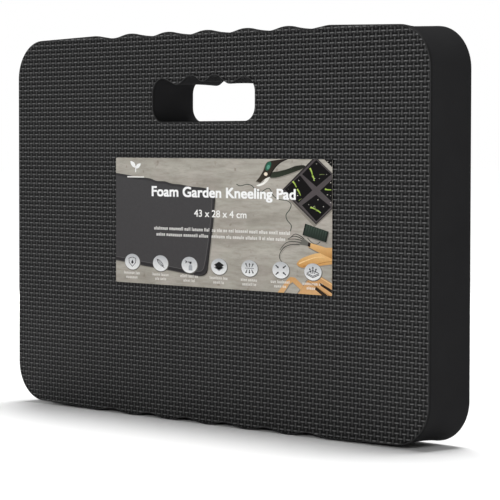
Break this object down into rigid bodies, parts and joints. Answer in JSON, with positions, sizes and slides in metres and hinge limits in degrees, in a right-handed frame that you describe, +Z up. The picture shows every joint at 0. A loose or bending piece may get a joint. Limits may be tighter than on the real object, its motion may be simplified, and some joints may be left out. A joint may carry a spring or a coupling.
{
  "type": "kneeling pad",
  "caption": "Rectangular foam kneeling pad with rounded corners, wavy long edges, a scalloped hand hole, woven-pattern faces and a stick-on label.",
  "frame": {"origin": "bottom centre of the pad as it stands on its long edge, half way along its width and through its thickness", "axes": "+X along the 430 mm width, to the right of a person who faces the label; +Z up, along the 280 mm height, towards the hand hole; +Y through the thickness, away from the label"},
  "size_m": [0.43, 0.0403, 0.28],
  "materials": {
    "cut_foam": "matte",
    "embossed_foam": "satin",
    "adhesive": "satin",
    "label": "satin"
  },
  "bodies": {
    "root": {"foam_core": "cut_foam", "front_face_sheet": "embossed_foam", "back_face_sheet": "embossed_foam", "label_adhesive": "adhesive", "label_film": "label"}
  },
  "joints": []
}
